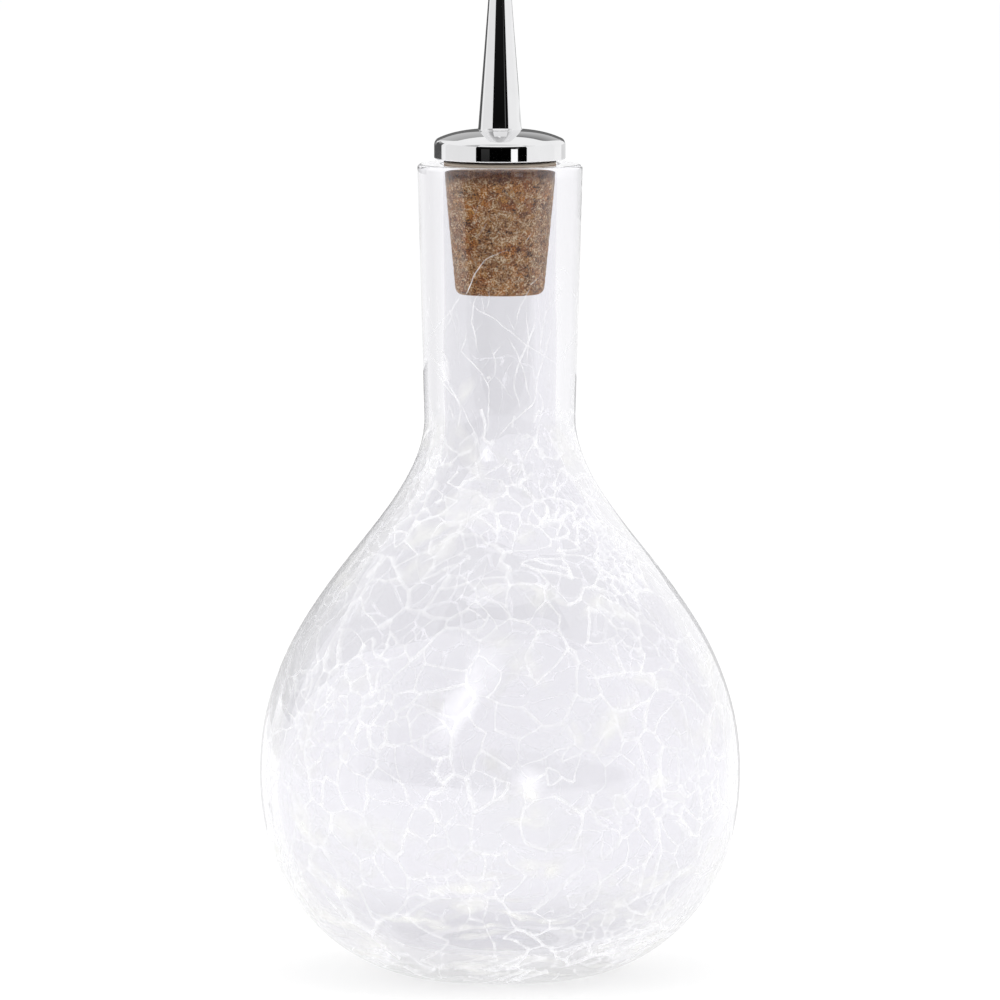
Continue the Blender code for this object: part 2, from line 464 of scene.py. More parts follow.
def settled_net(breaks):
    """Joins the cracks into one net whose forks settle evenly between their neighbours.

    Gives each run from fork to fork as its corners and its age.
    """
    corners = []
    edges = []
    ages = []
    for line, age in breaks:
        for side in zip(line, line[1:]):
            edges.append((len(corners), len(corners) + 1))
            corners.extend(side)
            ages.append(age)
    joined = geometry.delaunay_2d_cdt(corners, edges, [], 2, 2e-5)
    spots = [Vector(spot) for spot in joined[0]]
    beside = [{} for _ in spots]
    for (here, there), sources in zip(joined[1], joined[4]):
        if sources:
            beside[here][there] = beside[there][here] = min(ages[source] for source in sources)
    for _ in range(SETTLING_STEPS):
        middles = [
            sum((spots[other] for other in others), Vector((0, 0))) / max(len(others), 1)
            for others in beside
        ]
        spots = [
            spot.lerp(middle, 0.5) if len(others) > 1 else spot
            for spot, middle, others in zip(spots, middles, beside)
        ]
    runs = []
    walked = set()
    for fork, others in enumerate(beside):
        if len(others) == 2:
            continue
        for step in others:
            run = [fork, step]
            while len(beside[run[-1]]) == 2:
                run.append(next(spot for spot in beside[run[-1]] if spot != run[-2]))
            if (run[1], run[0]) not in walked:
                walked.add((run[-2], run[-1]))
                runs.append(([spots[spot] for spot in run], others[step]))
    return runs


def sliver(mesh, path, width, depth, lean, webs):
    """One crack: a closed thin blade under the skin that follows a path of spots.

    webs says how far each end spreads into its neighbours. An end with None runs out to nothing.
    The softness is 0 along the foot of the blade and at an end that runs out.
    """
    vertices, faces, softness = mesh
    ends = len(path) - 1
    first = len(vertices)
    places = [on_skin(spot) for spot in path]
    run = [0.0]
    for (here, _), (there, _) in zip(places, places[1:]):
        run.append(run[-1] + (there - here).length)
    for number, (point, normal) in enumerate(places):
        before = places[max(number - 1, 0)][0]
        after = places[min(number + 1, ends)][0]
        along = (after - before).normalized()
        side = along.cross(normal).normalized()
        down = (math.sin(lean) * side - math.cos(lean) * normal).normalized()
        across = along.cross(down).normalized()
        fade = 1.0
        half = width / 2
        for web, gap in zip(webs, (run[number], run[-1] - run[number])):
            if web is None:
                fade = min(fade, 0.1 + gap / RUN_OUT)
            else:
                half += web * WEB / 2 * math.exp(-gap / WEB_REACH)
        half *= fade * draw.uniform(0.8, 1.2)
        reach = depth * fade * draw.uniform(0.85, 1.15)
        top = point - normal * SKIN
        bottom = top + down * reach
        foot = across * half * FOOT_SHARE
        vertices += [top - across * half, top + across * half, bottom + foot, bottom - foot]
        softness.extend((fade, fade, 0.0, 0.0))
    for number in range(ends):
        here = first + 4 * number
        there = here + 4
        for corner in range(4):
            following = (corner + 1) % 4
            faces.append((here + corner, here + following, there + following, there + corner))
    faces.append((first + 3, first + 2, first + 1, first))
    last = first + 4 * ends
    faces.append((last, last + 1, last + 2, last + 3))


def crack_piece(name, mesh):
    """The mesh object of one kind of crack, which rides in the glass."""
    vertices, faces, softness = mesh
    data = bpy.data.meshes.new(name)
    data.from_pydata(vertices, [], faces)
    data.attributes.new("softness", "FLOAT", "POINT").data.foreach_set("value", softness)
    made = placed(name, data)
    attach(made, "bottle")
    return made


veins = ([], [], [])
forks = []
OLD = 3
OLD_CRACKS = {"missing": 0.02, "dead_end": 0.02, "strength": 0.35, "depth": (1.0, 1.7)}
YOUNG_CRACKS = {"missing": 0.07, "dead_end": 0.09, "strength": -0.1, "depth": (0.6, 1.4)}
NET_FADES_FROM = stretch_at(60 * MM)
NET_FADES_TO = stretch_at(75 * MM)
CALM_FOOT = stretch_at(4 * MM)
CALM_SHARE = 0.45
for corners, age in settled_net(all_breaks(first_plates(scattered_seeds(PLATE, 2600)))):
    low = min(corner.y for corner in corners)
    high = max(corner.y for corner in corners)
    if low < profile_stretch[0] or high > profile_stretch[-1]:
        continue
    fading = max((high - NET_FADES_FROM) / (NET_FADES_TO - NET_FADES_FROM), 0)
    span = corners[-1] - corners[0]
    upright = abs(span.y) / max(span.length, 1e-6)
    kind = OLD_CRACKS if age < OLD else YOUNG_CRACKS
    missing = kind["missing"] + fading * (1.35 - 0.6 * upright)
    if low < CALM_FOOT:
        missing += CALM_SHARE
    chance = draw.random()
    if chance < missing:
        continue
    path = bent_path(corners)
    webs = [min(math.exp(draw.gauss(-0.2, 0.5)), 1.6) for _ in range(2)]
    forks.append(corners[0])
    if chance < missing + kind["dead_end"] and len(path) > 4:
        path = path[: round(len(path) * draw.uniform(0.4, 0.8))]
        webs[1] = None
    place = on_skin(path[len(path) // 2])[0]
    strength = 0.9 * noise.noise(place / LEAN_PITCH) + kind["strength"]
    width = VEIN_WIDTH * math.exp(draw.gauss(strength, 0.25))
    lean = math.radians(draw.gauss(46 * noise.noise(place / LEAN_PITCH + Vector((4, 7, 2))), 7))
    depth = draw.uniform(*kind["depth"]) * MM
    sliver(veins, path, width, depth, lean, webs)

# Stars of short rays round some forks, where the cold shock was hardest. They crowd below the neck.
STAR_BAND = (stretch_at(44 * MM), stretch_at(66 * MM))
STARS = (0.035, 0.008)
for fork in forks:
    if draw.random() > STARS[0 if STAR_BAND[0] < fork.y < STAR_BAND[1] else 1]:
        continue
    radius = on_skin(fork)[0].xy.length
    turn = draw.uniform(0, math.tau)
    rays = draw.randint(3, 5)
    for ray in range(rays):
        angle = turn + math.tau * ray / rays + draw.gauss(0, 0.3)
        reach = draw.uniform(0.9, 2.6) * MM / radius
        tip = fork + Vector((math.cos(angle), math.sin(angle))) * reach
        lean = math.radians(draw.gauss(0, 12))
        sliver(veins, bent_path((fork, tip)), 0.7 * VEIN_WIDTH, 0.4 * MM, lean, (1.3, None))

# Long lone cracks that climb the neck, where the glass is too thick to break into cells.
NECK_CRACKS = 64
BELOW_CORK = stretch_at(87 * MM)
BELOW_LIP = stretch_at(RIM - 2.5 * MM)
for number in range(NECK_CRACKS):
    beside_cork = number % 3 == 0
    height = draw.uniform(82, 98) if beside_cork else draw.uniform(62, 88)
    spot = Vector((draw.uniform(-math.pi, math.pi), stretch_at(height * MM)))
    if beside_cork:
        heading = draw.choice((-1, 1, 1)) * draw.uniform(0.45, 0.95)
    else:
        heading = draw.gauss(0, 0.4)
    length = draw.uniform(1.5, 5) if beside_cork else draw.uniform(5, 17)
    turn = 0.0
    path = []
    branches = []
    for step in range(round(length * MM / STRIDE)):
        radius = on_skin(spot)[0].xy.length
        path.append(bent(spot))
        turn = 0.8 * turn + draw.gauss(0, 0.03)
        heading = 0.98 * heading + turn
        spot = spot + Vector((math.sin(heading), math.cos(heading))) * STRIDE / radius
        if draw.random() < 0.03:
            branches.append((path[-1], heading + draw.choice((-0.8, 0.8))))
        if spot.y > BELOW_LIP or (spot.y > BELOW_CORK and not beside_cork):
            break
    if len(path) < 5:
        continue
    width = (0.5 if beside_cork else 0.9) * VEIN_WIDTH * math.exp(draw.gauss(0, 0.3))
    lean = math.radians(draw.gauss(0, 5))
    sliver(veins, path, width, draw.uniform(0.2, 0.6) * MM, lean, (None, None))
    for fork, heading in branches:
        reach = draw.uniform(1, 3) * MM / WAIST_RADIUS
        tip = fork + Vector((math.sin(heading), math.cos(heading))) * reach
        if tip.y < BELOW_LIP:
            way = [fork, fork.lerp(tip, 0.5), tip]
            sliver(veins, way, 0.8 * width, 0.3 * MM, lean, (0.3, None))

# The cracks in front, as they show in the photograph: degrees to the right and millimetres up.
FRONT_CRACKS = (
    ((-68, 78.8), (-50, 76.3), (-39, 73.0), (-34, 71.1), (-33, 67.8)),
    ((-23, 81.9), (-30, 78.6), (-18, 76.7), (-11, 74.5), (-10, 68.3)),
    ((3, 81.3), (12, 79.0), (15, 75.7), (19, 73.2)),
    ((38, 81.8), (25, 76.2), (19, 73.0), (-4, 67.9)),
    ((-36, 84.5), (-49, 79.9)),
    ((-28, 85.6), (-14, 89.5), (-9, 90.7), (8, 91.8)),
    ((14, 92.6), (22, 94.4)),
)
THINNER_FROM = 85
for crack in FRONT_CRACKS:
    corners = [Vector((math.radians(turn - 90), stretch_at(rise * MM))) for turn, rise in crack]
    width = VEIN_WIDTH if crack[0][1] < THINNER_FROM else 0.7 * VEIN_WIDTH
    sliver(veins, bent_path(corners), width, 0.5 * MM, 0.0, (None, None))

cracks = crack_piece("glass_cracks", veins)
crack_finish, tree, output = new_material("air_filled_cracks")
place = object_place(tree)
crack_noise = spot_noise(tree, place, 1.5 * MM, 3.0).outputs["Fac"]
crack_colour = mixed_colour(tree, crack_noise, "#77777b", "#88888c")
# The film of air is torn in places, thinner in some parts of the wall, and runs out with depth.
torn_crack = remapped(tree, crack_noise, 0.36, 0.62, 0.4, 0.95)
crack_patches = spot_noise(tree, place, 8 * MM, 1.0).outputs["Fac"]
thin_crack = remapped(tree, crack_patches, 0.4, 0.6, 0.4, 1.0)
crack_film = computed(tree, "MULTIPLY", torn_crack, thin_crack)
to_foot = add_node(tree, "Attribute", {"attribute_name": "softness"}).outputs["Fac"]
crack_share = computed(tree, "MULTIPLY", crack_film, to_foot)
# Painted light: the cracks glow, standing in for the light that runs inside the wall and leaves the
# glass at its cracks.
PAINTED_GLOW = 0.86
crack_settings = {"Roughness": 0.5, "IOR": 1.45, "Emission Strength": PAINTED_GLOW}
principled(tree, output, crack_settings, {"Base Color": crack_colour, "Alpha": crack_share})
cracks.data.materials.append(crack_finish)

# Flakes in the glass
# Shell-shaped breaks that run nearly level under the skin. They carry a thin film of air, so each
# is a soft veil that lets most of the light through, white from a painted glow. They crowd low on
# the bulb.
FLAKES = 1100
FLAKE_CLUSTER = 13 * MM
FLAKE_BEND = 0.5 * MM
FLAKE_ROWS = 7
LOW_ON_BULB = 15 * MM
LOW_HEADING = 0.2
FLAKE_FOOT = stretch_at(1 * MM)
FLAKE_TOP = stretch_at(76 * MM)
FIRST_FLAKES = (stretch_at(2 * MM), stretch_at(72 * MM))


def flake(mesh, start, end, width, lean, strength=1.0):
    """One film, shaped as a leaf that dips into the wall. Its softness is 0 at the border."""
    vertices, faces, softness = mesh
    first = len(vertices)
    path = bent_path((start, end))
    ends = len(path) - 1
    places = [on_skin(spot) for spot in path]
    for number, (point, normal) in enumerate(places):
        before = places[max(number - 1, 0)][0]
        after = places[min(number + 1, ends)][0]
        side = (after - before).cross(normal).normalized()
        down = math.sin(lean) * side - math.cos(lean) * normal
        swell = math.sin(math.pi * number / ends)
        for row in range(FLAKE_ROWS):
            share = row / (FLAKE_ROWS - 1)
            wave = FLAKE_BEND * noise.noise(point / (2 * MM) + Vector((0, 0, 2.0 * share)))
            across = down * width * (0.5 + (share - 0.5) * (0.3 + 0.7 * swell)) + side * wave
            vertices.append(point - normal * 2 * SKIN + across)
            softness.append(strength * swell * math.sin(math.pi * share))
    for number in range(ends):
        for row in range(FLAKE_ROWS - 1):
            here = first + number * FLAKE_ROWS + row
            faces.append((here, here + FLAKE_ROWS, here + FLAKE_ROWS + 1, here + 1))


veils = ([], [], [])
for _ in range(FLAKES):
    spot = Vector((draw.uniform(-math.pi, math.pi), draw.uniform(*FIRST_FLAKES)))
    point, _ = on_skin(spot)
    radius = point.xy.length
    low = point.z < LOW_ON_BULB
    crowd = noise.noise(point / FLAKE_CLUSTER + Vector((1.7, 8.2, 3.9)))
    wanted = (radius / BULB_RADIUS) * (1.8 if low else 0.3) * min(max(0.5 + 1.6 * crowd, 0), 1)
    if draw.random() > wanted:
        continue
    heading = draw.gauss(0, LOW_HEADING) if low else draw.uniform(-1.2, 1.2)
    reach = draw.uniform(3.0, 12.0) * MM / radius
    tip = spot + Vector((math.cos(heading), math.sin(heading))) * reach
    if not FLAKE_FOOT < tip.y < FLAKE_TOP:
        continue
    lean = math.radians(draw.uniform(66, 80) * draw.choice((-1, 1)))
    width = draw.uniform(1.0, 2.5) * MM if low else draw.uniform(1.5, 4.5) * MM
    flake(veils, spot, tip, width, lean)

# The large films in front, as they show in the photograph: both ends in degrees to the right,
# then in millimetres up, and the width in millimetres.
LARGE_LEAN = math.radians(74)
# The large films are denser, so they show more of the painted glow.
LARGE_STRENGTH = 1.8
LARGE_FLAKES = (
    (4, 12, 27.0, 26.6, 2.6),
    (0, 15, 23.4, 23.0, 1.4),
    (4, 16, 19.0, 17.6, 3.2),
    (-20, 1, 14.6, 15.8, 2.4),
    (-24, 4, 9.4, 8.8, 1.2),
    (-5, 24, 11.6, 10.4, 1.4),
    (33, 50, 14.0, 16.6, 3.0),
    (-56, -38, 15.6, 12.8, 3.4),
    (-64, -44, 24.0, 20.0, 3.0),
    (-36, -14, 11.0, 9.8, 1.6),
)
for left, right, rise, fall, width in LARGE_FLAKES:
    spot = Vector((math.radians(left - 90), stretch_at(rise * MM)))
    tip = Vector((math.radians(right - 90), stretch_at(fall * MM)))
    flake(veils, spot, tip, width * MM, LARGE_LEAN, LARGE_STRENGTH)

flakes = crack_piece("glass_flakes", veils)
flakes.data.shade_smooth()
flake_finish, tree, output = new_material("torn_air_film")
place = object_place(tree)
tears = spot_noise(tree, place, 2.2 * MM, 4.0).outputs["Fac"]
torn_film = remapped(tree, tears, 0.34, 0.64, 0.05, 0.55)
border = add_node(tree, "Attribute", {"attribute_name": "softness"}).outputs["Fac"]
film = computed(tree, "MULTIPLY", torn_film, border)
film_colour = mixed_colour(tree, tears, "#787874", "#888884")
# Painted light: the films glow with the cracks' painted glow, in a warm white.
film_settings = {**crack_settings, "Roughness": 0.6, "Emission Color": linear("#fefefa")}
principled(tree, output, film_settings, {"Base Color": film_colour, "Alpha": film})
flakes.data.materials.append(flake_finish)

# Stem
# A drawn stainless tube with three barbs that bite into the cork. Only its lower end shows, up
# through the mouth of the glass. The CAD node's own shape is kept and gets the drawn finish.
drawn_steel, tree, output = new_material("drawn_stainless_tube")
tube_stretch = {"Scale": (1.0, 1.0, 0.04)}
stretched = add_node(tree, "Mapping", tube_stretch, {"Vector": object_place(tree)})
draw_lines = spot_noise(tree, stretched.outputs["Vector"], 0.15 * MM, 3.0).outputs["Fac"]
line_depth = {"Strength": 0.15, "Distance": 0.02 * MM}
steel_bump = add_node(tree, "Bump", line_depth, {"Height": draw_lines})
principled(
    tree,
    output,
    {"Metallic": 1.0},
    {
        "Base Color": mixed_colour(tree, draw_lines, "#b4b6b8", "#d2d3d5"),
        "Roughness": remapped(tree, draw_lines, 0.0, 1.0, 0.2, 0.36),
        "Normal": steel_bump.outputs["Normal"],
    },
)
stem = bpy.data.objects["stem_tube"]
stem.material_slots[0].material = drawn_steel

# Cork
# A tapered plug of pressed cork granules, ground to shape and bored through for the stem.
# Its cut granules give a mottled brown face with dark seams, pale flecks and small pits.
CORK_TOP_RADIUS = 7.0 * MM
CORK_TOE_RADIUS = 5.6 * MM
CORK_TOP = RIM + 0.35 * MM
CORK_TOE = RIM - 16.1 * MM
CORK_BORE = 2.7 * MM
CORK_EDGE = 0.95 * MM
GRANULE = 0.75 * MM
SEAM_DEPTH = 0.05 * MM
TOE_STEPS = 12
FLANK_STEPS = 80
CORK_TOE_END = (CORK_TOE_RADIUS - CORK_EDGE, CORK_TOE)
CORK_FLANK = (CORK_TOE_RADIUS, CORK_TOE + CORK_EDGE)
cork_edge_centre = (CORK_TOE_END[0], CORK_FLANK[1])
cork_outline = [
    (CORK_BORE, CORK_TOE),
    *straight((CORK_BORE, CORK_TOE), CORK_TOE_END, TOE_STEPS),
    *arc(cork_edge_centre, CORK_EDGE, -math.pi / 2, 0, 5),
    *straight(CORK_FLANK, (CORK_TOP_RADIUS, RIM), FLANK_STEPS),
    (CORK_TOP_RADIUS, RIM),
    (CORK_TOP_RADIUS, CORK_TOP),
    (CORK_BORE, CORK_TOP),
]


def cork_relief(point, row):
    """Shallow seams between granules and the odd pit; the grip at the top stays round."""
    if point.z > RIM - 0.2 * MM or point.xy.length < CORK_BORE + 0.2 * MM:
        return 0.0
    near, far = noise.voronoi(point / GRANULE)[0][:2]
    seam = min((far - near) / 0.25, 1.0)
    pit = max(noise.noise(point / (1.1 * MM)) - 0.45, 0) * 0.25 * MM
    return SEAM_DEPTH * (seam - 1) + 0.02 * MM * noise.noise(point / (0.4 * MM)) - pit


cork = turned("pressed_cork_plug", cork_outline, 180, cork_relief)
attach(cork, "stopper")
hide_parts("cork_stopper")

pressed_cork, tree, output = new_material("pressed_cork_granules")
place = object_place(tree)
warp_noise = spot_noise(tree, place, 1.1 * MM, 3.0).outputs["Color"]
warp_settings = {"data_type": "VECTOR", 0: 0.0005}
warp = add_node(tree, "Mix", warp_settings, {4: place, 5: warp_noise}).outputs[1]
granules = add_node(tree, "TexVoronoi", {"Scale": 1 / GRANULE}, {"Vector": warp})
granule_shade = add_node(tree, "SeparateColor", {}, {"Color": granules.outputs["Color"]})
edge_settings = {"feature": "DISTANCE_TO_EDGE", "Scale": 1 / GRANULE}
seams = add_node(tree, "TexVoronoi", edge_settings, {"Vector": warp}).outputs["Distance"]
granule_colour = add_node(tree, "ValToRGB", {}, {"Fac": granule_shade.outputs["Red"]})
ramp = granule_colour.color_ramp
ramp.elements[0].color = linear("#86491a")
ramp.elements[1].color = linear("#de9a4a")
for position, colour in ((0.3, "#b16622"), (0.55, "#ce812f"), (0.8, "#b07a42")):
    ramp.elements.new(position).color = linear(colour)
# Patches of dry and of sappy cork, a few granules wide.
patches = spot_noise(tree, place, 2.6 * MM, 3.0, Roughness=0.6).outputs["Fac"]
patch_share = remapped(tree, patches, 0.4, 0.6, 0.0, 0.7)
cork_colour = mixed_colour(tree, patch_share, granule_colour.outputs["Color"], "#ae7f50")
# Pale flecks and dark pits.
fleck_noise = spot_noise(tree, warp, 0.21 * MM, 4.0, Roughness=0.65).outputs["Fac"]
fleck_size = spot_noise(tree, place, 0.9 * MM, 2.0).outputs["Fac"]
flecks = computed(tree, "MULTIPLY_ADD", fleck_size, 0.45, fleck_noise)
cork_colour = mixed_colour(tree, remapped(tree, flecks, 0.775, 0.835), cork_colour, "#f4dcb4")
cork_colour = mixed_colour(tree, remapped(tree, flecks, 0.67, 0.6), cork_colour, "#3a200e")
# Painted highlights: pale glinting threads, laid over the dry patches.
glint_thread_noise = spot_noise(tree, place, 1.3 * MM, 2.0, Distortion=0.6).outputs["Fac"]
glint_thread_distance = computed(tree, "ABSOLUTE", computed(tree, "SUBTRACT", glint_thread_noise, 0.5))
painted_glint_threads = remapped(tree, glint_thread_distance, 0.004, 0.018, 1.0, 0.0)
painted_glint_share = computed(tree, "MULTIPLY", painted_glint_threads, patch_share)
cork_colour = mixed_colour(tree, painted_glint_share, cork_colour, "#f6e0bc")
seam_share = remapped(tree, seams, 0.0, 0.07, 0.45, 0.0)
cork_colour = mixed_colour(tree, seam_share, cork_colour, "#6b4830")
# Painted shade darkens the top of the cork below the rim, the cork turns paler from the rim up, and
# a painted shadow turns it near black under the cap.
cork_height = add_node(tree, "SeparateXYZ", {}, {"Vector": place}).outputs["Z"]
# Painted shade on the top of the cork below the rim.
painted_top_shade = remapped(tree, cork_height, RIM - 2.2 * MM, RIM - 1.2 * MM, 0.0, 0.95)
cork_colour = mixed_colour(tree, painted_top_shade, cork_colour, "#96765e", "MULTIPLY")
pale_rim_ring = remapped(tree, cork_height, RIM - 0.06 * MM, RIM + 0.02 * MM)
cork_colour = mixed_colour(tree, pale_rim_ring, cork_colour, "#c4b8a8")
# Painted shadow: near black under the cap.
painted_cap_shadow = remapped(tree, cork_height, RIM + 0.15 * MM, RIM + 0.4 * MM, 0.0, 0.9)
cork_colour = mixed_colour(tree, painted_cap_shadow, cork_colour, "#2c2119")
grain_depth = {"Strength": 0.5, "Distance": 0.1 * MM}
cork_bump = add_node(tree, "Bump", grain_depth, {"Height": fleck_noise}).outputs["Normal"]
cork_settings = {"Roughness": 0.85, "IOR": 1.45}
principled(tree, output, cork_settings, {"Base Color": cork_colour, "Normal": cork_bump})
cork.data.materials.append(pressed_cork)

# Cap
# A domed disc turned from brass, polished and chrome plated, that stops the cork at the rim.
# The plate gives hard mirror reflections, with only a trace of buffing haze.
CAP_RADIUS = 8.2 * MM
CAP_UNDERSIDE = RIM + 0.65 * MM
CAP_BAND_TOP = CAP_UNDERSIDE + 1.75 * MM
CAP_EDGE = 0.9 * MM
CAP_DOME = 1.15 * MM
DOME_POWER = 3
DOME_STEPS = 24
CAP_HOLE = 1.6 * MM
CAP_SEAT = 2.3 * MM
CAP_BEVEL = 0.12 * MM
CAP_BEVEL_MIDDLE = 0.035 * MM
BAND_RINGS = (0.3, 0.6, 0.9, 0.98)
SPOUT_ROOT_RADIUS = 2.7 * MM
lean = math.atan2(DOME_POWER * CAP_DOME, CAP_RADIUS)
cap_corner = arc((CAP_RADIUS - CAP_EDGE, CAP_BAND_TOP), CAP_EDGE, 0, math.pi / 2 - lean, 10)


def dome_height(radius):
    """Height of the dome at a radius: flat in the middle, and steeper to the rounded corner."""
    corner_radius, corner_height = cap_corner[-1]
    return corner_height + CAP_DOME * (1 - (radius / corner_radius) ** DOME_POWER)


dome_radii = [
    cap_corner[-1][0] + (CAP_SEAT - cap_corner[-1][0]) * step / DOME_STEPS
    for step in range(1, DOME_STEPS + 1)
]
cap_outline = [
    (CAP_HOLE, CAP_UNDERSIDE),
    (CAP_RADIUS - CAP_BEVEL, CAP_UNDERSIDE),
    (CAP_RADIUS - CAP_BEVEL_MIDDLE, CAP_UNDERSIDE + CAP_BEVEL_MIDDLE),
    (CAP_RADIUS, CAP_UNDERSIDE + CAP_BEVEL),
    (CAP_RADIUS, CAP_UNDERSIDE + 0.14 * MM),
    *((CAP_RADIUS, CAP_UNDERSIDE + share * (CAP_BAND_TOP - CAP_UNDERSIDE)) for share in BAND_RINGS),
    *cap_corner,
    *((radius, dome_height(radius)) for radius in dome_radii),
    (CAP_SEAT, CAP_BAND_TOP),
    (CAP_HOLE, CAP_BAND_TOP),
]
cap = turned("chrome_cap", cap_outline, 192)
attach(cap, "stopper")
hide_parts("cap_flange")

chrome, tree, output = new_material("polished_chrome_plate")
haze = spot_noise(tree, object_place(tree), 2.0 * MM, 4.0).outputs["Fac"]
principled(
    tree,
    output,
    {"Metallic": 1.0},
    {
        "Base Color": mixed_colour(tree, haze, "#e8e8e9", "#f0f0f1"),
        "Roughness": remapped(tree, haze, 0.3, 0.7, 0.01, 0.035),
    },
)
cap.data.materials.append(chrome)

# Spout
# A slender nozzle turned from brass, drilled to a narrow orifice and chrome plated with the cap.
# Its foot sits in the cap, and its straight taper ends in a lip rounded just enough to drip clean.
SPOUT_ROOT = dome_height(SPOUT_ROOT_RADIUS)
SPOUT_TIP = SPOUT_ROOT + 22.0 * MM
SPOUT_TIP_RADIUS = 1.02 * MM
SPOUT_FLARE = 0.1 * MM
SPOUT_FLARE_END = 0.3 * MM
SPOUT_LIP = 0.2 * MM
ORIFICE = 0.55 * MM
ORIFICE_END = SPOUT_TIP - 7.5 * MM
DRILL = 0.8 * MM
SPIGOT = 1.3 * MM
SPIGOT_END = CAP_UNDERSIDE - 3.0 * MM
SPOUT_FOOT = SPOUT_ROOT - 0.4 * MM
SPOUT_STEPS = 24
EDGE_BREAK = 0.06 * MM
DRILL_POINT = 0.25 * MM
spout_outline = [
    (DRILL, SPIGOT_END),
    (SPIGOT, SPIGOT_END),
    (SPIGOT, SPOUT_FOOT),
    (SPOUT_ROOT_RADIUS + SPOUT_FLARE, SPOUT_FOOT),
    (SPOUT_ROOT_RADIUS + SPOUT_FLARE, SPOUT_ROOT),
    (SPOUT_ROOT_RADIUS + 0.4 * SPOUT_FLARE, SPOUT_ROOT + 0.12 * MM),
]
taper_start = (SPOUT_ROOT_RADIUS, SPOUT_ROOT + SPOUT_FLARE_END)
taper_end = (SPOUT_TIP_RADIUS, SPOUT_TIP - SPOUT_LIP)
lip_centre = (SPOUT_TIP_RADIUS - SPOUT_LIP, SPOUT_TIP - SPOUT_LIP)
spout_outline += [taper_start, *straight(taper_start, taper_end, SPOUT_STEPS), taper_end]
spout_outline += arc(lip_centre, SPOUT_LIP, 0.2, math.pi / 2, 5)
spout_outline += [
    (ORIFICE + EDGE_BREAK, SPOUT_TIP),
    (ORIFICE, SPOUT_TIP - EDGE_BREAK),
    (ORIFICE, ORIFICE_END),
    (DRILL, ORIFICE_END - DRILL_POINT),
]
spout = turned("chrome_spout", spout_outline, 128)
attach(spout, "stopper")
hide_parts("pour_spout")
spout.data.materials.append(chrome)

# Studio
# A white sweep, soft light from both sides and above, and dark and bright cards round the set that
# only mirror and glass rays see, as the cards of a glass photographer shape the edges of the glass.
HALF_FLOOR = 4.0
FLOOR_GLOW = 0.72
QUARTERS = ((-1, -1), (1, -1), (1, 1), (-1, 1))
floor_data = bpy.data.meshes.new("studio_floor")
floor_corners = [(x * HALF_FLOOR, y * HALF_FLOOR, 0) for x, y in QUARTERS]
floor_data.from_pydata(floor_corners, [], [(0, 1, 2, 3)])
studio_floor = placed("studio_floor", floor_data)

white_sweep, tree, output = new_material("white_sweep_paper")
path_kind = add_node(tree, "LightPath").outputs
camera_or_mirror = computed(tree, "MAXIMUM", path_kind["Is Camera Ray"], path_kind["Is Glossy Ray"])
seen_rays = computed(tree, "MAXIMUM", camera_or_mirror, path_kind["Is Transmission Ray"])
glow_share = computed(tree, "MULTIPLY", seen_rays, FLOOR_GLOW)
white = linear("#ffffff")
floor_paper = add_node(tree, "BsdfDiffuse", {"Color": white}).outputs[0]
floor_glow = add_node(tree, "Emission", {"Color": white, "Strength": 1.0}).outputs[0]
shares = {0: glow_share, 1: floor_paper, 2: floor_glow}
floor_mix = add_node(tree, "MixShader", {}, shares)
tree.links.new(floor_mix.outputs[0], output.inputs["Surface"])
floor_data.materials.append(white_sweep)


def seen_share(tree, mirrored_only=False):
    """1 for rays that came off a mirror or through glass and met nothing matt, and 0 for the rest.

    With mirrored_only, a ray that only went straight through the glass counts as the rest.
    """
    path_kind = add_node(tree, "LightPath").outputs
    turned_rays = path_kind["Glossy Depth"]
    if not mirrored_only:
        turned_rays = computed(tree, "ADD", turned_rays, path_kind["Transmission Depth"])
    mirrored = computed(tree, "GREATER_THAN", turned_rays, 0.5)
    unlit = computed(tree, "LESS_THAN", path_kind["Diffuse Depth"], 0.5)
    return computed(tree, "MULTIPLY", mirrored, unlit)


def set_card(name, vertices, faces, through_glass):
    """A card of the set. The camera and matt surfaces don't see it, and it throws no shadow."""
    data = bpy.data.meshes.new(name)
    data.from_pydata(vertices, [], faces)
    made = placed(name, data)
    made.visible_camera = False
    made.visible_diffuse = False
    made.visible_shadow = False
    made.visible_transmission = through_glass
    finish, tree, output = new_material(name + "_paper")
    data.materials.append(finish)
    clear = add_node(tree, "BsdfTransparent")
    glow = add_node(tree, "Emission")
    mixed = add_node(tree, "MixShader", {}, {1: clear.outputs[0], 2: glow.outputs[0]})
    tree.links.new(mixed.outputs[0], output.inputs["Surface"])
    return made, tree, glow, mixed


def direction(angle, rise):
    """Unit vector at degrees to the right of the camera's side and degrees above level."""
    turn = math.radians(angle)
    tilt = math.radians(rise)
    flat = math.cos(tilt)
    return Vector((math.sin(turn) * flat, -math.cos(turn) * flat, math.sin(tilt)))


CARD_STEP = 3


def mirror_card(name, start, end, distance, low, high, shades):
    """A bent upright card round the set, which only mirror rays see.

    It runs from one angle to another, counted from the camera's side to the right, and from a low
    to a high edge. The two shades are its brightness at these edges.
    """
    steps = max(2, round(abs(end - start) / CARD_STEP))
    vertices = []
    for step in range(steps + 1):
        angle = math.radians(start + (end - start) * step / steps)
        x, y = math.sin(angle), -math.cos(angle)
        vertices += [(x * distance, y * distance, low), (x * distance, y * distance, high)]
    faces = [(2 * n, 2 * n + 2, 2 * n + 3, 2 * n + 1) for n in range(steps)]
    _, tree, glow, mixed = set_card(name, vertices, faces, False)
    height = add_node(tree, "SeparateXYZ", {}, {"Vector": object_place(tree)})
    shade = remapped(tree, height.outputs["Z"], low, high, *shades)
    tree.links.new(shade, glow.inputs["Strength"])
    tree.links.new(seen_share(tree), mixed.inputs[0])


TEAR = 0.3
CARD_CENTRE = 40 * MM


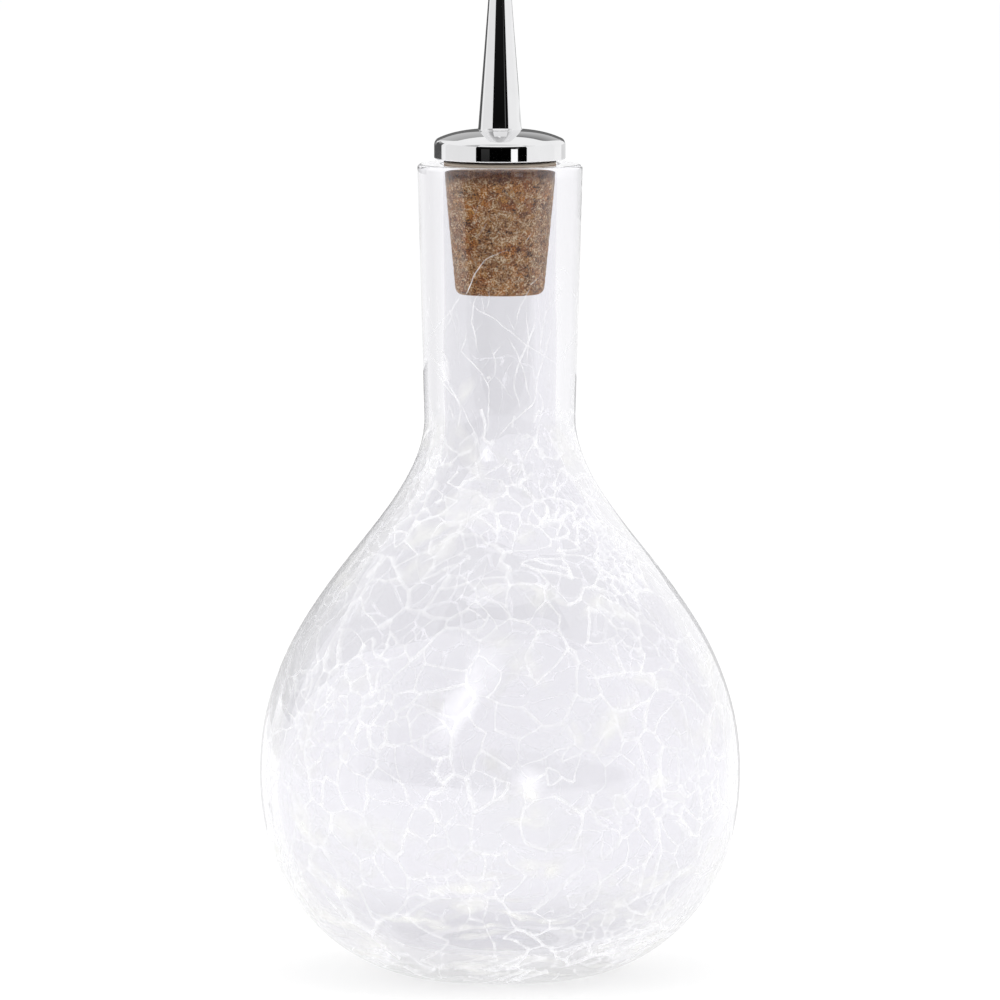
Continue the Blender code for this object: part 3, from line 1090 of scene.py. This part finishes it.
def soft_window(name, angle, rise, distance, size, slant, radiance, edge, glass_rays="none"):
    """An oval pane with torn soft edges, which shows in what glass and metal mirror.

    Its angle, rise and slant are in degrees, and edge is the share of the pane that fades out.
    glass_rays says which rays from inside the glass see it too: none, mirrored or all.
    """
    width, height = size
    across = width / 2 + TEAR * height
    up = height / 2 + TEAR * height
    corners = [(x * across, y * up, 0) for x, y in QUARTERS]
    card, tree, glow, mixed = set_card(name, corners, [(0, 1, 2, 3)], glass_rays != "none")
    towards = direction(angle, rise)
    card.location = towards * distance + Vector((0, 0, CARD_CENTRE))
    facing = towards.to_track_quat("Z", "Y").to_euler()
    facing.rotate_axis("Z", math.radians(slant))
    card.rotation_euler = facing
    glow.inputs["Strength"].default_value = radiance
    place = object_place(tree)
    ragged = spot_noise(tree, place, height / 5, 3.0).outputs["Color"]
    tear_settings = {"data_type": "VECTOR", 0: TEAR * height}
    torn = add_node(tree, "Mix", tear_settings, {4: place, 5: ragged}).outputs[1]
    oval_scale = {"Scale": (2 / width, 2 / height, 0)}
    oval = add_node(tree, "Mapping", oval_scale, {"Vector": torn}).outputs[0]
    round_settings = {"gradient_type": "SPHERICAL"}
    ball = add_node(tree, "TexGradient", round_settings, {"Vector": oval}).outputs["Fac"]
    seen = seen_share(tree, glass_rays == "mirrored")
    share = computed(tree, "MULTIPLY", remapped(tree, ball, 0.0, edge), seen)
    tree.links.new(share, mixed.inputs[0])


# These stand close to the chrome, so that the glass under it looks past them.
CHROME_CARDS = 60 * MM
CHROME_SIGHT = 98.4 * MM
BEHIND_CHROME = 107.5 * MM
STRIP = CHROME_CARDS - 2 * MM
mirror_card("front_black_card", -40, 45, CHROME_CARDS, CHROME_SIGHT, 0.130, (0.0, 0.01))
mirror_card("front_white_card", -40, 45, CHROME_CARDS, 0.130, 0.165, (1.0, 1.0))
mirror_card("front_white_strip", 18, 29, STRIP, CHROME_SIGHT, 100.7 * MM, (1.15, 1.15))
mirror_card("front_dark_strip", -31, -17, STRIP, CHROME_SIGHT, 100.9 * MM, (0.015, 0.035))
mirror_card("front_grey_strip", 27, 31, STRIP, 0.106, 0.130, (0.14, 0.03))
mirror_card("front_left_flank", -105, -40, CHROME_CARDS, CHROME_SIGHT, 0.130, (0.89, 0.89))
mirror_card("front_right_flank", 45, 105, CHROME_CARDS, CHROME_SIGHT, 0.130, (0.97, 0.97))
mirror_card("back_dark_card", 152, 208, CHROME_CARDS, BEHIND_CHROME, 0.1225, (0.13, 0.17))
mirror_card("back_grey_card", 180, 208, CHROME_CARDS, 0.1225, 0.152, (0.58, 0.42))
mirror_card("back_shaded_card", 152, 180, CHROME_CARDS, 0.1225, 0.152, (0.58, 0.2))
mirror_card("right_end_card", 130, 160, CHROME_CARDS, 0.090, BEHIND_CHROME, (0.78, 0.78))
mirror_card("left_grey_card", -150, -124, 0.48, 0.0687, 0.30, (0.09, 0.09))
mirror_card("left_edge_card", -178, -150, 0.48, 0.0687, 0.19, (0.09, 0.5))
mirror_card("left_near_card", -168, -135, 0.12, 0.030, 0.065, (0.6, 0.1))

# These shape the glass: dim before it and at its edges, and bright windows that it mirrors.
mirror_card("right_rim_card", 150, 165, 0.12, 0.0, 0.064, (0.75, 0.3))
mirror_card("left_rim_card", -165, -150, 0.12, 0.0, 0.03, (0.8, 0.75))
soft_window("floor_dim_card", 0, -90, 0.0395, (0.34, 0.34), 0, 0.76, 1.0)
soft_window("left_dim_window", -140, 8, 0.5, (0.75, 0.8), 0, 0.88, 1.0, "all")
soft_window("front_dim_card", 1, 10, 0.46, (1.9, 1.6), 0, 0.15, 0.75, "mirrored")
soft_window("front_window", -5, 35, 0.42, (0.13, 0.38), -38, 4.8, 0.9)
soft_window("low_window", 14.5, -2.9, 0.15, (0.044, 0.036), 0, 5.0, 0.8)


LAMP_CENTRE = 50 * MM
LAMP_DISTANCE = 1.1


def soft_lamp(name, angle, rise, width, height, radiance):
    """A soft box that faces the bottle. Its angle runs from the camera's side to the right."""
    data = bpy.data.lights.new(name, "AREA")
    data.shape = "RECTANGLE"
    data.size = width
    data.size_y = height
    data.energy = radiance * math.pi * width * height
    made = placed(name, data)
    towards = direction(angle, rise)
    made.location = towards * LAMP_DISTANCE + Vector((0, 0, LAMP_CENTRE))
    made.rotation_euler = towards.to_track_quat("Z", "Y").to_euler()
    made.visible_glossy = False
    made.visible_transmission = False


soft_lamp("left_soft_box", -75, 35, 0.7, 0.9, 1.6)
soft_lamp("right_soft_box", 80, 30, 0.7, 0.9, 2.0)
soft_lamp("top_soft_box", 0, 82, 0.9, 0.9, 1.1)

world = bpy.data.worlds.new("white_studio")
bpy.context.scene.world = world
world.use_nodes = True
tree = world.node_tree
tree.nodes.clear()
output = add_node(tree, "OutputWorld")
sky = add_node(tree, "Background", {"Color": white, "Strength": 1.0})
tree.links.new(sky.outputs[0], output.inputs["Surface"])

# Light that is trapped in the wall turns many times before it leaves through a crack.
cycles = bpy.context.scene.cycles
cycles.max_bounces = 32
cycles.transmission_bounces = 32
cycles.glossy_bounces = 16
cycles.diffuse_bounces = 12
cycles.transparent_max_bounces = 32

# Camera
# A long lens 1.5 m away and 5.6 degrees above level, as the slim ellipses of the rim and cap show.
CAMERA_PLACE = (0, -1.4918, 0.2068)
AIM_HEIGHT = 0.0596
camera_data = bpy.data.cameras.new("camera")
camera_data.sensor_width = 36.0
camera_data.lens = 432.0
camera = placed("camera", camera_data)
camera.location = CAMERA_PLACE
aim = Vector((0, 0, AIM_HEIGHT)) - camera.location
camera.rotation_euler = aim.to_track_quat("-Z", "Y").to_euler()
bpy.context.scene.camera = camera
bpy.context.scene.view_settings.view_transform = "Standard"
